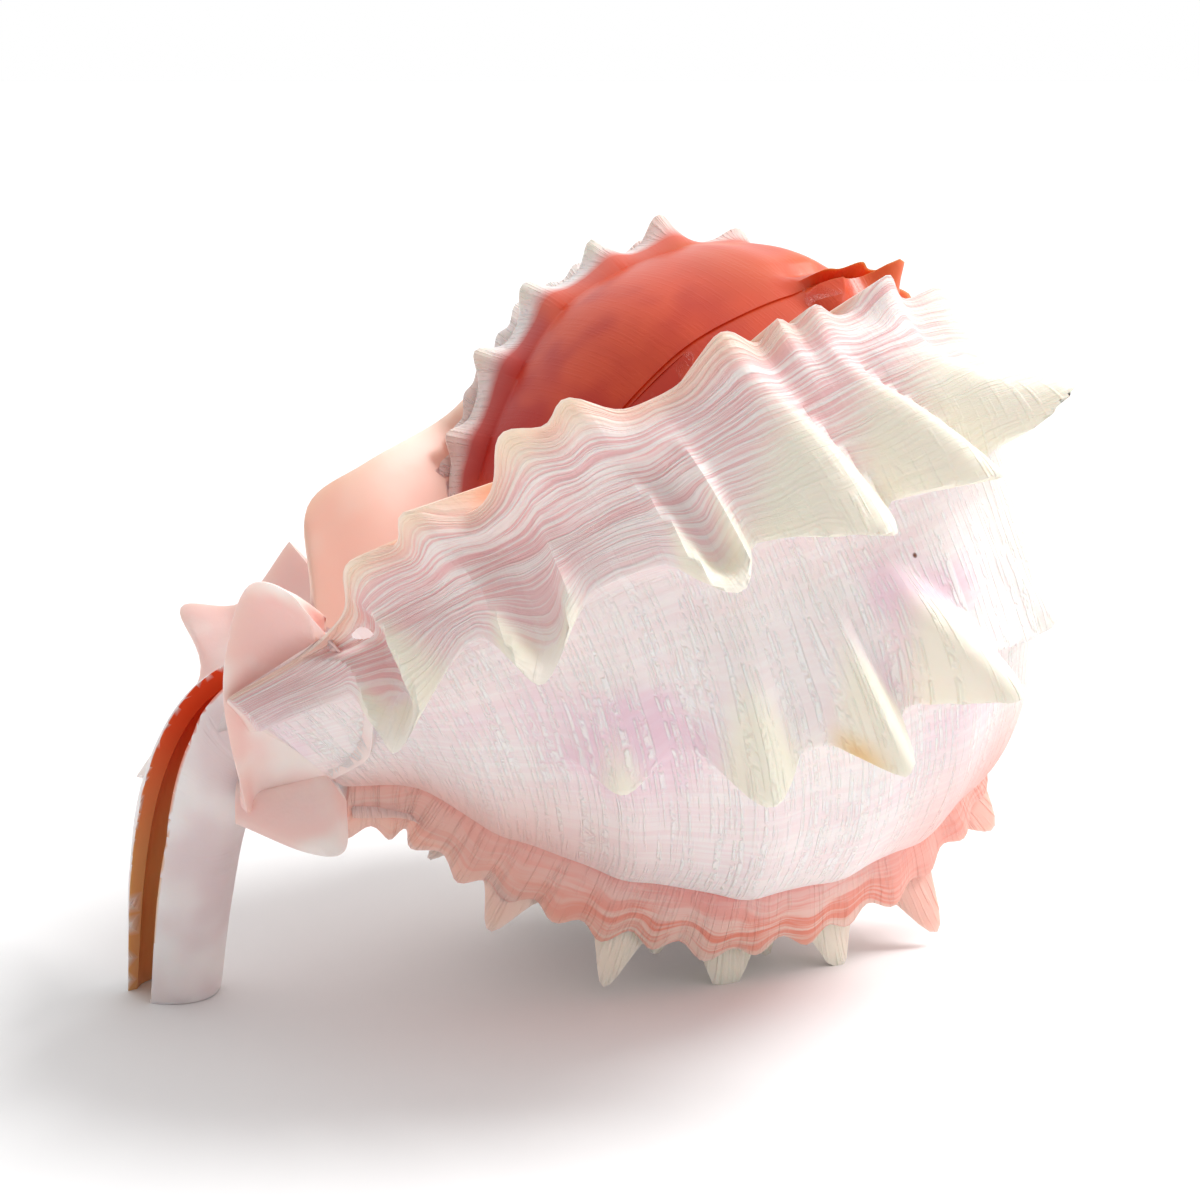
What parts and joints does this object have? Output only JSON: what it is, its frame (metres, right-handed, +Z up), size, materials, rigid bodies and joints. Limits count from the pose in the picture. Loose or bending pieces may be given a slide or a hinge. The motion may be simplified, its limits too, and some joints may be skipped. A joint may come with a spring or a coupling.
{
  "type": "sea snail shell",
  "caption": "Large globose spiny sea-snail shell with rows of hollow spines, a wide flared mouth and a bent open siphonal canal, resting mouth-up on its spine tips.",
  "frame": {"origin": "centre of the footprint of the overall box, on the plane the shell rests on", "axes": "+Z up from the resting plane; +Y points away from the side the last old lip faces, with the flared outer lip and its new spines towards -Y; the canal is at -X and the spire towards +X and +Y"},
  "size_m": [0.099, 0.1002, 0.0823],
  "materials": {
    "shell_surface": "chalky satin lime outside, glossy glaze inside the mouth; rose-white outside, orange-red inside"
  },
  "bodies": {
    "root": {"shell": "shell_surface"}
  },
  "joints": []
}
